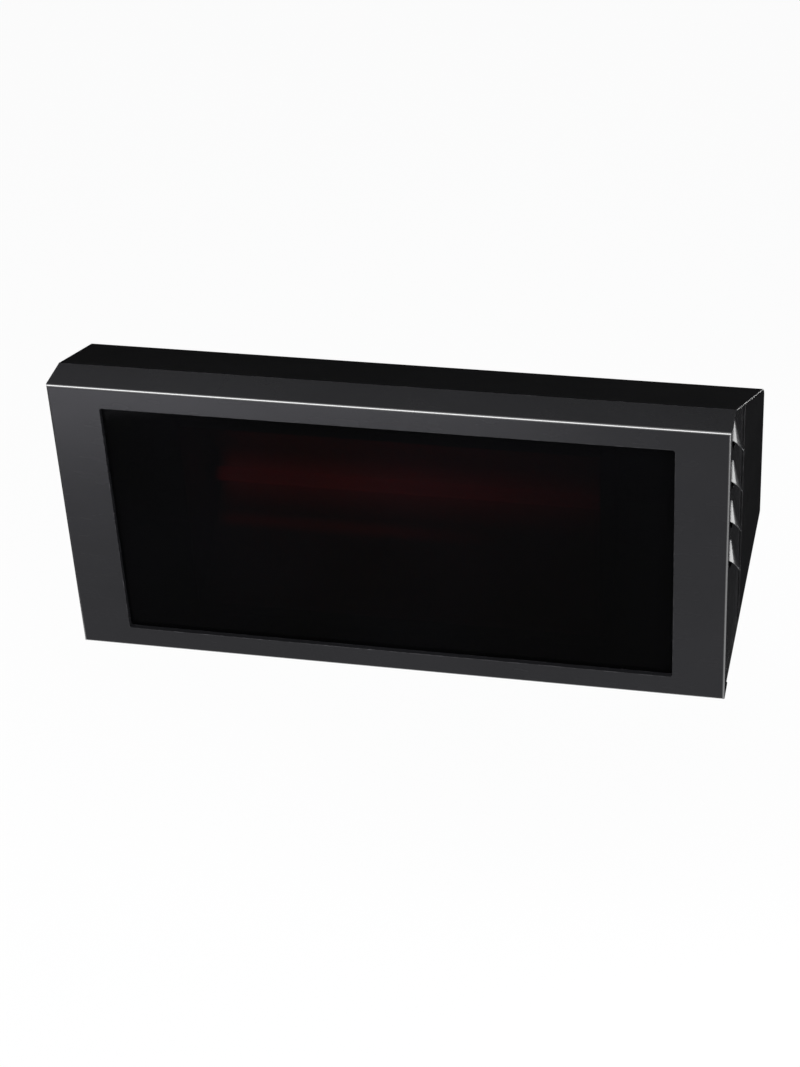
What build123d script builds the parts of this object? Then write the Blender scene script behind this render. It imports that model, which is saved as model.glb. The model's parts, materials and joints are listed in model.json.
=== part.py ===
from build123d import *
import os
from math import atan, atan2, cos, sin, sqrt, tan

os.makedirs("parts", exist_ok=True)

# Case: front frame, louvred sides and rear shell
front_width = 500.0
front_height = 235.0
case_depth = 130.0
rear_spread = 11.5
back_height = 110.0
top_drop = 41.5
top_flange_depth = 31.5
bottom_flange_depth = 20.0
side_return_depth = 5.0
frame_sheet = 1.5
case_sheet = 1.2
frame_bend = 2.0
rear_top_bend = 8.0
rear_bottom_bend = 4.0
shell_edge = 0.9
shell_step = 0.6
sheet_gap = 0.15
cheek_start = 60.0
panel_overlap = 8.0
tab_gap = 1.7
lip_reach = 16.0
lip_inset = 12.0
lip_top_run = 3.5
lip_bottom_run = 2.5

# Window, glass and what holds it
side_bezel = 39.0
rail_bezel = 17.25
window_corner = 2.0
window_return = 4.2
glass_thick = 4.0
glass_overlap_x = 12.0
glass_overlap_z = 7.0
glass_corner = 4.0
seal_thick = 3.0
seal_width = 4.5
seal_gap = 0.3
clip_sheet = 0.8
clip_width = 16.0
clip_foot = 7.2
clip_pad = 6.0
clip_edge_gap = 0.5
clip_run_x = 120.0
clip_run_z = 75.0
clip_stud = 3.0
clip_stud_length = 6.0

# Louvres pressed into each side
louvre_count = 4
louvre_pitch = 34.5
louvre_first = 30.5
louvre_depth = 27.0
louvre_height = 26.0
louvre_half_width = 13.0
louvre_rise = 8.0
louvre_sheet = 1.0
louvre_mouth_slope = 1.75
hood_sink = 0.05

# Lamp, its holders and the reflector
lamp_depth = 75.0
lamp_tube_r = 5.5
lamp_tube_wall = 1.0
lamp_reach = 6.0
lamp_pinch = 9.0
filament_r = 0.9
cap_r = 4.5
cap_length = 15.0
contact_r = 1.5
contact_length = 2.5
focal_length = 20.0
reflector_half_height = 80.0
reflector_lip = 8.0
reflector_margin = 55.0
reflector_sheet = 0.8
end_sheet = 0.8
end_half_height = 84.0
end_back_half = 50.0
end_top_run = 55.0
end_back_gap = 3.0
end_front_gap = 3.0
end_bottom_run = 43.0
end_hole_r = 9.0
tab_inner = 44.0
tab_width = 12.0
tab_reach = 23.0
holder_length = 30.0
holder_height = 20.0
holder_front = 10.0
holder_back = 11.0
holder_recess = 10.0
cap_cover = 8.5
holder_clearance = 0.4
plunger_r = 2.0
plunger_length = 9.0
plunger_travel = 2.5
spring_room = 4.0
plunger_gap = 0.1
running_clearance = 0.05

# Steel brackets behind the frame and the heat shield
bracket_sheet = 1.2
bracket_half_height = 58.0
bracket_foot = 9.0
bracket_reach = 8.0
bracket_glass_gap = 2.0
bracket_stud_run = 45.0
bracket_stud = 4.0
bracket_stud_length = 7.0
lead_hole_r = 3.0
shield_sheet = 0.8
shield_gap = 2.0
shield_reach = 14.0
shield_half_height = 42.0
shield_ear = 12.0
shield_screw_run = 30.0

# Terminal block, earth stud, cable gland and leads
terminal_side = 32.5
terminal_rise = 26.0
terminal_length = 45.0
terminal_depth = 20.0
terminal_height = 30.0
terminal_ways = 3
terminal_pitch = 14.0
terminal_screw_r = 2.2
earth_rise = 14.0
earth_stud_r = 2.5
earth_stud_length = 14.0
gland_side = 100.0
gland_rise = 18.0
gland_thread_r = 8.0
gland_bore_r = 4.2
gland_inner = 8.0
gland_flange_af = 20.0
gland_flange = 5.0
gland_nut_r = 9.8
gland_nut_length = 12.0
gland_nut_wall = 4.0
gland_seal_r = 6.5
gland_locknut_af = 22.0
gland_locknut = 4.0
lead_r = 1.2
lead_bend = 6.0
lead_seat = 6.0
lead_slant = 26.0
terminal_screw_run = 8.0
terminal_recess = 6.0
ring_r = 5.0
ring_thick = 1.2
saddle_places = (-0.4, 0.2, 0.8)
saddle_half = 4.0
gland_neck_r = 7.2
gland_neck = 6.0

# Tilt pivot and wall bracket
wall_gap = 50.0
pivot_from_wall = 28.0
pivot_r = 4.0
pivot_end_r = 12.0
lug_x = 70.0
lug_sheet = 3.0
lug_foot = 18.0
lug_half_height = 22.0
lug_screw_run = 14.0
washer_gap = 0.2
washer_thick = 1.0
washer_r = 8.0
wall_sheet = 3.0
wall_top = 12.0
wall_bottom = -45.0
wall_corner = 4.0
wall_bend = 2.5
wall_hole_r = 3.3
wall_hole_x = 110.0
wall_hole_z = 38.0
bolt_end = 2.0

# Fasteners: shank radius, head radius, head height, nut width and nut height
M3 = (1.5, 2.8, 2.0, 5.5, 2.4)
M4 = (2.0, 3.8, 2.6, 7.0, 3.2)
M5 = (2.5, 4.6, 3.0, 8.0, 4.0)
M8 = (4.0, 7.4, 5.3, 13.0, 6.5)
thread_gap = 0.05
case_screw_run = 99.0
case_screw_count = 5
case_screw_length = 9.0
holder_screw_run = 6.5
holder_screw_depth = 6.0
self_tapper_length = 6.0
rivet_r = 1.6
rivet_head_r = 3.0
rivet_head = 1.0
rivet_inset = 3.0

# Places worked out from the sizes above
top_z = back_height / 2 + top_drop
bottom_z = top_z - front_height
middle_z = (top_z + bottom_z) / 2
front_y = -wall_gap - case_depth
back_y = -wall_gap
front_half = front_width / 2
rear_half = front_half + rear_spread
window_width = front_width - 2 * side_bezel
window_height = front_height - 2 * rail_bezel
flare = (rear_half - front_half - shell_step) / (case_depth - top_flange_depth)
top_angle = atan2(top_drop, case_depth - top_flange_depth)
bottom_drop = front_height - top_drop - back_height
bottom_angle = atan2(bottom_drop, case_depth - bottom_flange_depth)
glass_front = frame_sheet + seal_thick
glass_back = glass_front + glass_thick
glass_half_x = window_width / 2 + glass_overlap_x
glass_half_z = window_height / 2 + glass_overlap_z
reflector_half = window_width / 2 - reflector_margin
lamp_tube_half = reflector_half + lamp_reach
lamp_y = front_y + lamp_depth
vertex_depth = lamp_depth + focal_length
flange_depth = lamp_depth + holder_back
bracket_x = glass_half_x + bracket_glass_gap
bracket_inner = reflector_half + bracket_reach
foot_end = bracket_x + bracket_sheet + bracket_foot
shield_half_width = reflector_half + shield_reach
terminal_x = terminal_side - front_half
terminal_z = middle_z + terminal_rise
gland_x = gland_side - front_half
gland_z = middle_z + gland_rise
earth_x = gland_x
holder_x = lamp_tube_half + cap_length - cap_cover
contact_x = lamp_tube_half + cap_length
plunger_x = contact_x + contact_length + plunger_gap
plunger_room = plunger_travel + spring_room
shield_depth = vertex_depth + end_back_gap + shield_gap
reach = front_width
louvre_reach = 3 * louvre_height


def box(x0, x1, y0, y1, z0, z1):
    """A block between two corners."""
    size = (abs(x1 - x0), abs(y1 - y0), abs(z1 - z0))
    return Pos((x0 + x1) / 2, (y0 + y1) / 2, (z0 + z1) / 2) * Box(*size)


def rod(start, axis, radius, length):
    """A round bar from a start point along an axis."""
    plane = Plane(origin=start, z_dir=axis)
    return plane * Pos(0, 0, length / 2) * Cylinder(radius, length)


def hex_bar(start, axis, width, length):
    """A hexagon bar of a given width across flats."""
    plane = Plane(origin=start, z_dir=axis)
    return plane * extrude(RegularPolygon(width / 2, 6, major_radius=False), length)


def nut(start, axis, size):
    """A hexagon nut with its near face at the start point."""
    bar = hex_bar(start, axis, size[3], size[4])
    return bar - rod(start, axis, size[0] + thread_gap, size[4])


def screw(start, axis, size, length):
    """A domed screw: the head's underside is at the start point, the shank runs along the axis."""
    back = tuple(-part for part in axis)
    head = rod(start, back, size[1], size[2])
    head = fillet(head.edges().filter_by(GeomType.CIRCLE), size[2] * 0.3)
    return head + rod(start, axis, size[0], length)


def case_half(depth):
    """Half width of the rear shell's outer face at a depth."""
    return rear_half - (case_depth - depth) * flare


def roof(depth, inset):
    """Height of the top slope at a depth, moved in by an inset."""
    return top_z - (depth - top_flange_depth) * tan(top_angle) - inset / cos(top_angle)


def sole(depth, inset):
    """Height of the bottom slope at a depth, moved in by an inset."""
    drop = (case_depth - depth) * tan(bottom_angle)
    return -back_height / 2 - drop + inset / cos(bottom_angle)


def side_sheet(points, low, high):
    """A face of depth and height points, drawn across the case from low to high."""
    wire = Polyline(*[(front_y + depth, height) for depth, height in points], close=True)
    return extrude(Plane.YZ.offset(low) * make_face(wire), high - low)


def plan_block(points, low, high):
    """A face of width and depth points, drawn upwards from low to high."""
    wire = Polyline(*[(x, front_y + depth) for x, depth in points], close=True)
    return extrude(Plane.XY.offset(low) * make_face(wire), high - low)


def mirrored(shape):
    """The same piece on the other side of the middle plane."""
    return mirror(shape, about=Plane.YZ)


def save(name, *solids):
    """Write one node, whose pieces stay separate solids."""
    found = []
    for item in solids:
        found.extend(item.solids())
    shape = found[0] if len(found) == 1 else Compound(children=found)
    shape.label = name
    export_step(shape, f"parts/{name}.step")


def case_wedge(inset, start_top, start_bottom, bend):
    """The rear of the case as one block, moved in by an inset, with its two rear bends."""
    back = case_depth - inset
    middle = (start_top, middle_z)
    points = [(start_top, roof(start_top, inset)), (back, roof(back, inset)),
              (back, sole(back, inset)), (start_bottom, sole(start_bottom, inset)),
              (start_bottom, middle_z), middle]
    block = side_sheet(points, -reach, reach)
    rear = block.edges().filter_by(Axis.X).sort_by(Axis.Y)[-2:]
    low, high = rear.sort_by(Axis.Z)
    block = fillet(high, rear_top_bend - inset)
    back_y_here = front_y + back
    rear = block.edges().filter_by(Axis.X).filter_by_position(Axis.Y, back_y_here - 0.1, back_y_here + 0.1)
    low = rear.sort_by(Axis.Z)[0]
    return fillet(low, bend - inset)


def plan_wedge(inset, start):
    """The case seen from above, moved in by an inset, from a start depth to past its back."""
    side = inset / cos(atan(flare))
    end = case_depth + 10
    points = [(case_half(start) - side, start), (case_half(end) - side, end),
              (side - case_half(end), end), (side - case_half(start), start)]
    return plan_block(points, bottom_z - 20, top_z + 20)


# Front frame: one folded sheet with a hemmed window, flanges and short side returns
frame = box(-front_half, front_half, front_y, front_y + top_flange_depth, bottom_z, top_z)
front_edges = frame.edges().filter_by_position(Axis.Y, front_y - 0.1, front_y + 0.1)
frame = fillet(front_edges, frame_bend)
inner = frame_sheet
frame -= box(inner - front_half, front_half - inner, front_y + inner, front_y + reach,
             bottom_z + inner, top_z - inner)
side_cut = box(-reach, reach, front_y + side_return_depth, front_y + reach, bottom_z - 1, top_z - inner)
frame -= side_cut - box(-front_half, front_half, front_y, front_y + bottom_flange_depth,
                        bottom_z - 1, bottom_z + inner)


def window_block(grow, start, end, corner):
    """A block through the window, grown on every side, between two depths."""
    width = window_width + 2 * grow
    height = window_height + 2 * grow
    face = Plane.XZ * RectangleRounded(width, height, corner)
    return Pos(0, front_y + end, middle_z) * extrude(face, end - start)


frame += window_block(frame_sheet, 0, window_return, window_corner + frame_sheet)
frame -= window_block(0, -1, window_return + 1, window_corner)


def round_window(angle, edge, along, shape):
    """Place a piece drawn above a window edge: turn it about the window's centre."""
    return Pos(0, front_y, middle_z) * Rot(0, angle, 0) * Pos(along, 0, edge) * shape


def clip_places():
    """Angle, edge distance and place along the edge of every glass clip."""
    places = []
    for step in (-1.5, -0.5, 0.5, 1.5):
        places.append((0, glass_half_z, step * clip_run_x))
        places.append((180, glass_half_z, step * clip_run_x))
    for step in (-1, 1):
        places.append((90, glass_half_x, step * clip_run_z))
        places.append((-90, glass_half_x, step * clip_run_z))
    return places


clip_stud_z = clip_edge_gap + clip_sheet + (clip_foot - clip_sheet) / 2
for angle, edge, along in clip_places():
    stud = rod((0, frame_sheet, clip_stud_z), (0, 1, 0), clip_stud / 2, clip_stud_length)
    frame += round_window(angle, edge, along, stud)
bracket_stud_x = bracket_x + bracket_sheet + bracket_foot / 2
for side in (-1, 1):
    for step in (-1, 1):
        place = (side * bracket_stud_x, front_y + frame_sheet, middle_z + step * bracket_stud_run)
        frame += rod(place, (0, 1, 0), bracket_stud / 2, bracket_stud_length)

# Screws that close the case, up through the bottom flange and the shell's lip
lip_low_start = bottom_flange_depth - lip_inset
case_screw_y = front_y + bottom_flange_depth - lip_inset / 2
case_screws = []
case_nuts = []
lip_holes = []
for index in range(case_screw_count):
    x = (index - (case_screw_count - 1) / 2) * case_screw_run
    place = (x, case_screw_y, bottom_z)
    hole = rod((x, case_screw_y, bottom_z - 1), (0, 0, 1), M4[0] + 0.2, frame_sheet + case_sheet + 2)
    lip_holes.append(hole)
    case_screws.append(screw(place, (0, 0, 1), M4, case_screw_length))
    case_nuts.append(nut((x, case_screw_y, bottom_z + frame_sheet + case_sheet), (0, 0, 1), M4))
for hole in lip_holes:
    frame -= hole
save("front_frame", frame)
save("case_screws", *case_screws)
save("case_nuts", *case_nuts)

# Rear shell: top slope, back, bottom slope and two cheeks, with lips under the frame's flanges
seam = sheet_gap
shell = case_wedge(0, top_flange_depth + seam, bottom_flange_depth + seam, rear_bottom_bend)
shell &= plan_wedge(0, 5)
side_faces = [face for face in shell.faces() if abs(face.normal_at().X) > 0.9]
side_edges = []
for face in side_faces:
    for edge in face.edges():
        middle = edge @ 0.5
        upright = edge.geom_type == GeomType.LINE and abs((edge % 0.5).Z) > 0.99
        front_line = middle.Y < front_y + top_flange_depth + 1
        if not front_line and not (upright and middle.Y < back_y - 5):
            side_edges.append(edge)
shell = fillet(side_edges, shell_edge)
hollow = case_wedge(case_sheet, 1, 0, rear_bottom_bend)
shell -= hollow & plan_wedge(case_sheet, -20)
shell -= hollow & box(-reach, reach, front_y - 20, front_y + cheek_start, bottom_z - 20, top_z + 20)
lip_half = front_half - lip_reach
lip_top = top_z - frame_sheet
lip_bottom = bottom_z + frame_sheet
lip_top_start = top_flange_depth - lip_inset
lip_top_end = top_flange_depth + lip_top_run
shell += box(-lip_half, lip_half, front_y + lip_top_start, front_y + lip_top_end,
             lip_top - case_sheet, lip_top)
lip_low_end = bottom_flange_depth + lip_bottom_run
shell += box(-lip_half, lip_half, front_y + lip_low_start, front_y + lip_low_end,
             lip_bottom, lip_bottom + case_sheet)
for hole in lip_holes:
    shell -= hole
lug_screw_x = lug_x - lug_foot / 2
for side in (-1, 1):
    for step in (-1, 1):
        start = (side * lug_screw_x, back_y - 5, step * lug_screw_run)
        shell -= rod(start, (0, 1, 0), M5[0] + 0.2, 10)
shell -= rod((gland_x, back_y - 5, gland_z), (0, 1, 0), gland_thread_r + 0.1, 10)
save("rear_shell", shell)


def louvre_cone(shrink):
    """A half cone that stands on the panel, its point up, in panel coordinates."""
    half = louvre_half_width - shrink
    rise = louvre_rise - shrink
    radius = (half * half + rise * rise) / (2 * rise)
    small = 0.06
    drop = louvre_height + 0.5
    top = Plane((0, (rise - radius) * small, 0)) * Circle(radius * small)
    low = Plane((0, rise - radius, -drop)) * Circle(radius)
    return loft([top, low], ruled=True)


def louvre_mouth():
    """What the slanted mouth cuts away: all that lies in front of and below the rim."""
    run = louvre_reach
    points = [(0, -louvre_height), (run, -louvre_height + run * louvre_mouth_slope),
              (run, -run), (-run, -run), (-run, -louvre_height)]
    return extrude(Plane.XZ * make_face(Polyline(*points, close=True)), run, both=True)


# Side panels: a flared sheet with a tab on the frame's back, and the louvres
panel_inset = (case_sheet + sheet_gap) / cos(atan(flare))
panel_wall = case_sheet / cos(atan(flare))
panel_back = cheek_start + panel_overlap


def panel_x(depth):
    """Outer face of the right side panel at a depth."""
    return case_half(depth) - panel_inset


panel_points = [(panel_x(frame_sheet), frame_sheet), (panel_x(panel_back), panel_back),
                (panel_x(panel_back) - panel_wall, panel_back),
                (panel_x(frame_sheet + case_sheet) - panel_wall, frame_sheet + case_sheet),
                (foot_end + tab_gap, frame_sheet + case_sheet), (foot_end + tab_gap, frame_sheet)]
panel = plan_block(panel_points, bottom_z + frame_sheet, top_z - frame_sheet)
under = case_sheet + sheet_gap
trim = [(0, top_z), (top_flange_depth, top_z), (top_flange_depth, roof(top_flange_depth, under)),
        (panel_back + 5, roof(panel_back + 5, under)), (panel_back + 5, sole(panel_back + 5, under)),
        (bottom_flange_depth, sole(bottom_flange_depth, under)), (bottom_flange_depth, bottom_z),
        (0, bottom_z)]
panel &= side_sheet(trim, 0, reach)
outer_cone = louvre_cone(0)
inner_cone = louvre_cone(louvre_sheet)
span = louvre_reach
hood_side = box(-span, span, -hood_sink, span, -span, span)
passage_side = box(-span, span, -2 * case_sheet, span, -span, span)
hood = (outer_cone & hood_side) - inner_cone - louvre_mouth()
vent = (inner_cone & passage_side) - louvre_mouth()
for index in range(louvre_count):
    apex = top_z - louvre_first - index * louvre_pitch + louvre_height
    centre = (panel_x(louvre_depth), front_y + louvre_depth, apex)
    seat = Plane(origin=centre, x_dir=(-sin(atan(flare)), -cos(atan(flare)), 0), z_dir=(0, 0, 1))
    panel = panel + seat * hood - seat * vent
save("side_panel_right", panel)
save("side_panel_left", mirrored(panel))

# Glass, its fibre seal, and the clips and nuts that hold it
glass_face = Plane.XZ * RectangleRounded(2 * glass_half_x, 2 * glass_half_z, glass_corner)
glass = Pos(0, front_y + glass_back, middle_z) * extrude(glass_face, glass_thick)
save("glass_panel", fillet(glass.edges().filter_by(Plane.XZ), 0.5))
seal_inner = frame_sheet + seal_gap
seal_corner = window_corner + seal_inner
seal = window_block(seal_inner + seal_width, frame_sheet, glass_front, seal_corner + seal_width)
seal -= window_block(seal_inner, frame_sheet - 1, glass_front + 1, seal_corner)
save("glass_seal", seal)

clip_far = clip_edge_gap + clip_foot
clip_web = clip_edge_gap + clip_sheet
clip_points = [(frame_sheet, clip_edge_gap), (frame_sheet, clip_far), (frame_sheet + clip_sheet, clip_far),
               (frame_sheet + clip_sheet, clip_web), (glass_back + clip_sheet, clip_web),
               (glass_back + clip_sheet, -clip_pad), (glass_back, -clip_pad), (glass_back, clip_edge_gap)]
clip_face = make_face(Polyline(*clip_points, close=True))
clip = extrude(Plane.YZ.offset(-clip_width / 2) * clip_face, clip_width)
clip -= rod((0, 0, clip_stud_z), (0, 1, 0), clip_stud / 2 + 0.15, 5)
clips = []
clip_nuts = []
for angle, edge, along in clip_places():
    clips.append(round_window(angle, edge, along, clip))
    clip_nut = nut((0, frame_sheet + clip_sheet, clip_stud_z), (0, 1, 0), M3)
    clip_nuts.append(round_window(angle, edge, along, clip_nut))
save("glass_clips", *clips)
save("clip_nuts", *clip_nuts)


def curve_point(height, out):
    """A point of the reflector's section: depth and height, moved out by a distance."""
    depth = vertex_depth - height * height / (4 * focal_length)
    lean = height / (2 * focal_length)
    size = sqrt(1 + lean * lean)
    return (front_y + depth + out / size, middle_z + height + out * lean / size)


# Reflector trough and its two end plates
steps = 8
heights = [reflector_half_height * (2 * index / steps - 1) for index in range(steps + 1)]
inner_curve = Spline(*[curve_point(height, 0) for height in heights])
outer_curve = Spline(*[curve_point(height, reflector_sheet) for height in heights])
ends = [Line(inner_curve @ 0, outer_curve @ 0), Line(inner_curve @ 1, outer_curve @ 1)]
section = make_face([inner_curve, outer_curve] + ends)
reflector = extrude(Plane.YZ.offset(-reflector_half) * section, 2 * reflector_half)
lip_depth = vertex_depth - reflector_half_height ** 2 / (4 * focal_length)
for side in (-1, 1):
    low = middle_z + side * (reflector_half_height - 0.1)
    high = middle_z + side * (reflector_half_height + reflector_lip)
    lip_y = front_y + lip_depth
    reflector += box(-reflector_half, reflector_half, lip_y, lip_y + reflector_sheet, low, high)
save("reflector", reflector)

end_front = lip_depth - end_front_gap
end_back = vertex_depth + end_back_gap
end_points = [(end_front, end_half_height), (end_front + end_top_run, end_half_height),
              (end_back, end_back_half), (end_back, -end_back_half),
              (end_front + end_bottom_run, -end_half_height), (end_front, -end_half_height)]
end_points = [(depth, middle_z + height) for depth, height in end_points]
end_plate = side_sheet(end_points, reflector_half, reflector_half + end_sheet)
end_plate -= rod((reflector_half - 1, lamp_y, middle_z), (1, 0, 0), end_hole_r, end_sheet + 2)
tab_end = reflector_half + end_sheet + tab_reach
tab_back = front_y + flange_depth
rivet_x = bracket_inner + rivet_head_r + rivet_inset
for side in (-1, 1):
    tab_low = middle_z + side * tab_inner
    tab_high = middle_z + side * (tab_inner + tab_width)
    end_plate += box(reflector_half, tab_end, tab_back - end_sheet, tab_back, tab_low, tab_high)
rivets = []
rivet_holes = []
for side in (-1, 1):
    rivet_z = middle_z + side * (tab_inner + tab_width / 2)
    start = (rivet_x, tab_back - end_sheet, rivet_z)
    length = end_sheet + bracket_sheet
    rivet = rod(start, (0, 1, 0), rivet_r, length)
    rivet += rod(start, (0, -1, 0), rivet_head_r * 0.8, rivet_head)
    rivet += rod((rivet_x, tab_back + bracket_sheet, rivet_z), (0, 1, 0), rivet_head_r, rivet_head)
    rivets += [rivet, mirrored(rivet)]
    rivet_holes.append(rod((rivet_x, tab_back - 3, rivet_z), (0, 1, 0), rivet_r + thread_gap, 6))
for hole in rivet_holes:
    end_plate -= hole
save("reflector_end_right", end_plate)
save("reflector_end_left", mirrored(end_plate))
save("reflector_rivets", *rivets)

# Lamp: quartz tube, filament, ceramic caps and contact pins
bore_half = lamp_tube_half - lamp_pinch
tube = rod((-lamp_tube_half, lamp_y, middle_z), (1, 0, 0), lamp_tube_r, 2 * lamp_tube_half)
tube = fillet(tube.edges().filter_by(GeomType.CIRCLE), 0.8)
tube -= rod((-bore_half, lamp_y, middle_z), (1, 0, 0), lamp_tube_r - lamp_tube_wall, 2 * bore_half)
save("lamp_tube", tube)
save("lamp_filament", rod((-bore_half, lamp_y, middle_z), (1, 0, 0), filament_r, 2 * bore_half))
cap = rod((lamp_tube_half, lamp_y, middle_z), (1, 0, 0), cap_r, cap_length)
save("lamp_caps", cap, mirrored(cap))
pin = rod((contact_x, lamp_y, middle_z), (1, 0, 0), contact_r, contact_length)
save("lamp_contacts", pin, mirrored(pin))

# Ceramic holders with a sprung contact, screwed to the brackets
holder_end = holder_x + holder_length
holder = box(holder_x, holder_end, lamp_y - holder_front, lamp_y + holder_back,
             middle_z - holder_height / 2, middle_z + holder_height / 2)
holder = fillet(holder.edges().filter_by(Axis.X), 1.5)
holder -= rod((holder_x - 1, lamp_y, middle_z), (1, 0, 0), cap_r + holder_clearance, holder_recess + 1)
bore_end = plunger_x + plunger_length + plunger_room
bore_r = plunger_r + running_clearance
holder -= rod((holder_x, lamp_y, middle_z), (1, 0, 0), bore_r, bore_end - holder_x)
holder_screw_x = (plunger_x + bore_end) / 2
holder_back_y = front_y + flange_depth
holder_screws = []
holder_holes = []
for side in (-1, 1):
    z = middle_z + side * holder_screw_run
    start = (holder_screw_x, holder_back_y + bracket_sheet, z)
    item = screw(start, (0, -1, 0), M3, bracket_sheet + holder_screw_depth)
    holder_screws += [item, mirrored(item)]
    hole = rod(start, (0, -1, 0), M3[0] + thread_gap, bracket_sheet + holder_screw_depth)
    holder_holes.append(hole)
for hole in holder_holes:
    holder -= hole
save("lamp_holder_right", holder)
save("lamp_holder_left", mirrored(holder))
save("holder_screws", *holder_screws)
plunger = rod((plunger_x, lamp_y, middle_z), (1, 0, 0), plunger_r, plunger_length)
save("contact_plunger_right", plunger)
save("contact_plunger_left", mirrored(plunger))

# Brackets that carry the holders and the reflector on the frame's studs
flange_back = flange_depth + bracket_sheet
bracket_points = [(bracket_x, frame_sheet), (foot_end, frame_sheet), (foot_end, frame_sheet + bracket_sheet),
                  (bracket_x + bracket_sheet, frame_sheet + bracket_sheet),
                  (bracket_x + bracket_sheet, flange_back), (bracket_inner, flange_back),
                  (bracket_inner, flange_depth), (bracket_x, flange_depth)]
bracket = plan_block(bracket_points, middle_z - bracket_half_height, middle_z + bracket_half_height)
lead_hole_x = (holder_end + bracket_x) / 2
bracket -= rod((lead_hole_x, front_y + flange_depth - 1, middle_z), (0, 1, 0), lead_hole_r, bracket_sheet + 2)
for hole in rivet_holes + holder_holes:
    bracket -= hole
bracket_nuts = []
for side in (-1, 1):
    z = middle_z + side * bracket_stud_run
    bracket -= rod((bracket_stud_x, front_y, z), (0, 1, 0), bracket_stud / 2 + 0.15, 5)
    item = nut((bracket_stud_x, front_y + frame_sheet + bracket_sheet, z), (0, 1, 0), M4)
    bracket_nuts += [item, mirrored(item)]

# Heat shield behind the reflector
ear_front = flange_back
ear_end = shield_half_width + shield_ear
plate = shield_depth
skin = shield_sheet
right_half = [(shield_half_width, plate), (shield_half_width, ear_front), (ear_end, ear_front),
              (ear_end, ear_front + skin), (shield_half_width + skin, ear_front + skin),
              (shield_half_width + skin, plate + skin)]
left_half = [(-x, depth) for x, depth in reversed(right_half)]
shield = plan_block(right_half + left_half, middle_z - shield_half_height, middle_z + shield_half_height)
shield_screws = []
for side in (-1, 1):
    x = shield_half_width + shield_ear / 2
    start = (x, front_y + ear_front + skin, middle_z + side * shield_screw_run)
    item = screw(start, (0, -1, 0), M3, self_tapper_length)
    shield_screws += [item, mirrored(item)]
    hole = rod(start, (0, -1, 0), M3[0] + thread_gap, self_tapper_length)
    bracket -= hole
    shield = shield - hole - mirrored(hole)
save("lamp_bracket_right", bracket)
save("lamp_bracket_left", mirrored(bracket))
save("bracket_nuts", *bracket_nuts)
save("heat_shield", shield)
save("shield_screws", *shield_screws)

# Terminal block, its screws, the earth stud and the internal leads
inside_y = back_y - case_sheet
lead_y = inside_y - M5[4] - ring_thick / 2
block = box(terminal_x - terminal_length / 2, terminal_x + terminal_length / 2,
            inside_y - terminal_depth, inside_y,
            terminal_z - terminal_height / 2, terminal_z + terminal_height / 2)
block = fillet(block.edges().filter_by(Axis.Y), 1.0)
block_front = inside_y - terminal_depth
block_low = terminal_z - terminal_height / 2
block_high = terminal_z + terminal_height / 2
terminal_screws = []
ways = []
for index in range(terminal_ways):
    x = terminal_x + (index - (terminal_ways - 1) / 2) * terminal_pitch
    ways.append(x)
    block -= rod((x, lead_y, block_low - 1), (0, 0, 1), lead_r + 0.1, lead_seat + 1)
    block -= rod((x, lead_y, block_high + 1), (0, 0, -1), lead_r + 0.1, lead_seat + 1)
    for side in (-1, 1):
        z = terminal_z + side * terminal_screw_run
        block -= rod((x, block_front - 1, z), (0, 1, 0), terminal_screw_r + 0.3, terminal_recess + 1)
        bottom = (x, block_front + terminal_recess, z)
        item = rod(bottom, (0, -1, 0), terminal_screw_r, terminal_recess - 2)
        slot_y = block_front + 2
        item -= box(x - 3, x + 3, slot_y - 1, slot_y + 1, z - 0.4, z + 0.4)
        terminal_screws.append(item)
save("terminal_block", block)
save("terminal_screws", *terminal_screws)


def lead(points):
    """A round lead with an arc at every corner."""
    route = FilletPolyline(*points, radius=lead_bend)
    return sweep(Plane(origin=route @ 0, z_dir=route % 0) * Circle(lead_r), path=route)


lead_top = block_low + lead_seat
hole_x = lead_hole_x
earth_z = block_high + earth_rise
left_points = [(ways[0], lead_y, lead_top), (ways[0], lead_y, middle_z),
               (-hole_x, lead_y - lead_slant, middle_z), (-hole_x, lamp_y, middle_z),
               (-holder_end, lamp_y, middle_z)]
right_points = [(ways[1], lead_y, lead_top), (ways[1], lead_y, middle_z), (hole_x, lead_y, middle_z),
                (hole_x, lamp_y, middle_z), (holder_end, lamp_y, middle_z)]
ring_edge = earth_x - ring_r
earth_points = [(ways[2], lead_y, block_high - lead_seat), (ways[2], lead_y, earth_z),
                (ring_edge + 1, lead_y, earth_z)]
save("lead_left", lead(left_points))
save("lead_right", lead(right_points))
ring_y = lead_y - ring_thick / 2
ring = rod((earth_x, ring_y, earth_z), (0, 1, 0), ring_r, ring_thick)
ring_hole = rod((earth_x, ring_y, earth_z), (0, 1, 0), earth_stud_r + thread_gap, ring_thick)
earth_lead = lead(earth_points) + ring - ring_hole
save("lead_earth", earth_lead)
save("earth_stud", rod((earth_x, inside_y, earth_z), (0, -1, 0), earth_stud_r, earth_stud_length))
earth_nuts = [nut((earth_x, y, earth_z), (0, -1, 0), M5) for y in (inside_y, ring_y)]
save("earth_nuts", *earth_nuts)
saddles = []
for share in saddle_places:
    centre = share * hole_x
    saddle = box(centre - saddle_half, centre + saddle_half, lead_y - saddle_half, inside_y,
                 middle_z - saddle_half, middle_z + saddle_half)
    passage = rod((centre - saddle_half, lead_y, middle_z), (1, 0, 0), lead_r + thread_gap, 2 * saddle_half)
    saddles.append(saddle - passage)
save("lead_saddles", *saddles)

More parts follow.
